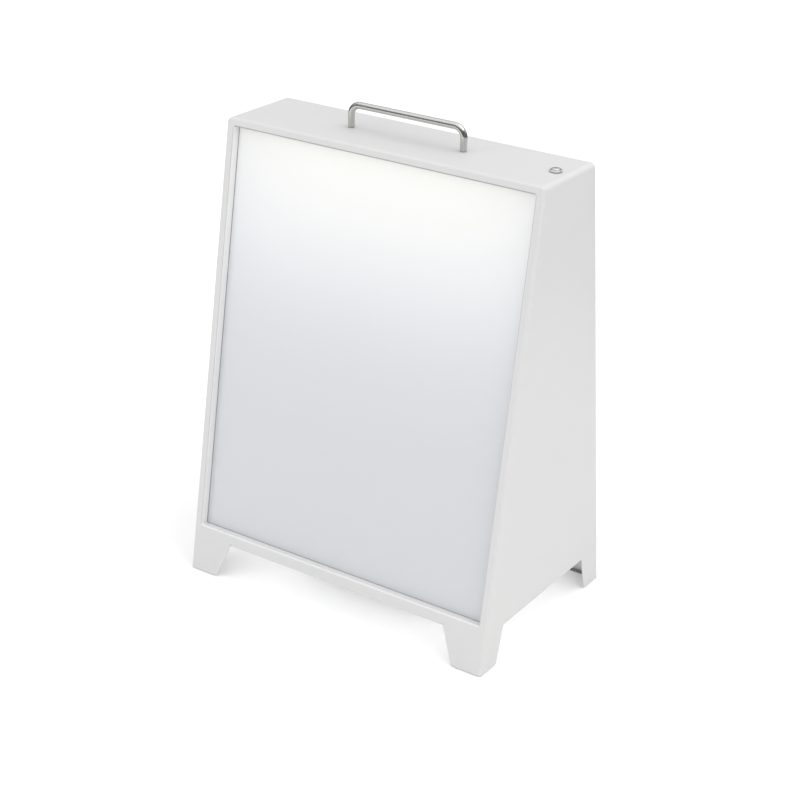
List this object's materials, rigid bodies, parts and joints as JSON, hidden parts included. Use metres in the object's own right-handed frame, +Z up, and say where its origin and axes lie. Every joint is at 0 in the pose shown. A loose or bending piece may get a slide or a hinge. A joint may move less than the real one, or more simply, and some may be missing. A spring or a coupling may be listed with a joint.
{
  "type": "lighted advertising sign",
  "caption": "Portable double-sided light box sign: white folded steel body with sloping lit panels, tapered feet, a bar handle and a push switch on top.",
  "frame": {"origin": "on the floor, under the middle of the body", "axes": "+Z up, +X to the right as the front panel is read, +Y from the front panel to the rear one"},
  "size_m": [0.42, 0.2776, 0.587],
  "materials": {
    "steel_white": "fine-grained white powder coat, satin",
    "milky_acrylic": "milky cast acrylic, lit from behind",
    "opal_lens": "opal diffuser, lit",
    "stainless": "satin stainless round bar",
    "switch_steel": "turned stainless steel, polished edge",
    "zinc_steel": "bright zinc plate",
    "aluminium": "natural anodised extrusion",
    "grey_plastic": "fine spark-eroded texture",
    "white_plastic": "plain moulded nylon",
    "black_plastic": "moulded, smooth",
    "grey_rubber": "matt extruded rubber",
    "black_rubber": "matt moulded rubber",
    "light_board": "white solder mask",
    "control_board": "green solder mask",
    "battery_wrap": "shrunk film",
    "lead_jacket": "plain flexible jacket"
  },
  "bodies": {
    "sign": {"top_panel": "steel_white", "side_panel_left": "steel_white", "side_panel_right": "steel_white", "front_rail": "steel_white", "rear_rail": "steel_white", "bottom_plate": "steel_white", "plate_bracket_left": "steel_white", "plate_bracket_right": "steel_white", "panel_guide_front_left": "steel_white", "panel_guide_front_right": "steel_white", "panel_guide_rear_left": "steel_white", "panel_guide_rear_right": "steel_white", "panel_front": "milky_acrylic", "panel_rear": "milky_acrylic", "light_lens": "opal_lens", "handle": "stainless", "switch_body": "switch_steel", "handle_washer_left": "zinc_steel", "handle_washer_right": "zinc_steel", "handle_screw_left": "zinc_steel", "handle_screw_right": "zinc_steel", "switch_nut": "zinc_steel", "light_bracket_left": "zinc_steel", "light_bracket_right": "zinc_steel", "light_screw_left": "zinc_steel", "light_screw_right": "zinc_steel", "plate_screw_front_left": "zinc_steel", "plate_screw_front_right": "zinc_steel", "plate_screw_rear_left": "zinc_steel", "plate_screw_rear_right": "zinc_steel", "lid_screw_front_left": "zinc_steel", "lid_screw_front_right": "zinc_steel", "lid_screw_rear_left": "zinc_steel", "lid_screw_rear_right": "zinc_steel", "box_screw_front": "zinc_steel", "box_screw_rear": "zinc_steel", "charge_inlet_nut": "zinc_steel", "charge_flap_pin": "zinc_steel", "light_channel": "aluminium", "battery_box": "grey_plastic", "battery_lid": "grey_plastic", "light_end_cap_left": "grey_plastic", "light_end_cap_right": "grey_plastic", "lead_clip_upper": "white_plastic", "lead_clip_lower": "white_plastic", "charge_inlet": "black_plastic", "foot_pad_front_left": "grey_rubber", "foot_pad_front_right": "grey_rubber", "foot_pad_rear_left": "grey_rubber", "foot_pad_rear_right": "grey_rubber", "switch_gasket": "black_rubber", "light_board": "light_board", "control_board": "control_board", "battery_pack": "battery_wrap", "light_lead": "lead_jacket", "switch_lead": "lead_jacket", "battery_lead": "lead_jacket", "charge_lead": "lead_jacket"},
    "switch_button": {"switch_button": "switch_steel"},
    "charge_flap": {"charge_flap": "black_rubber"}
  },
  "joints": [
    {"name": "switch_press", "type": "slide", "parent": "sign", "child": "switch_button", "axis": [0, 0, -1], "range_m": [0, 0.0015], "stiffness_N_per_m": 1200},
    {"name": "charge_flap_hinge", "type": "hinge", "parent": "sign", "child": "charge_flap", "pos_m": [0.048, 0.0542, 0.0424], "axis": [1, 0, 0], "range_deg": [0, 95]}
  ]
}
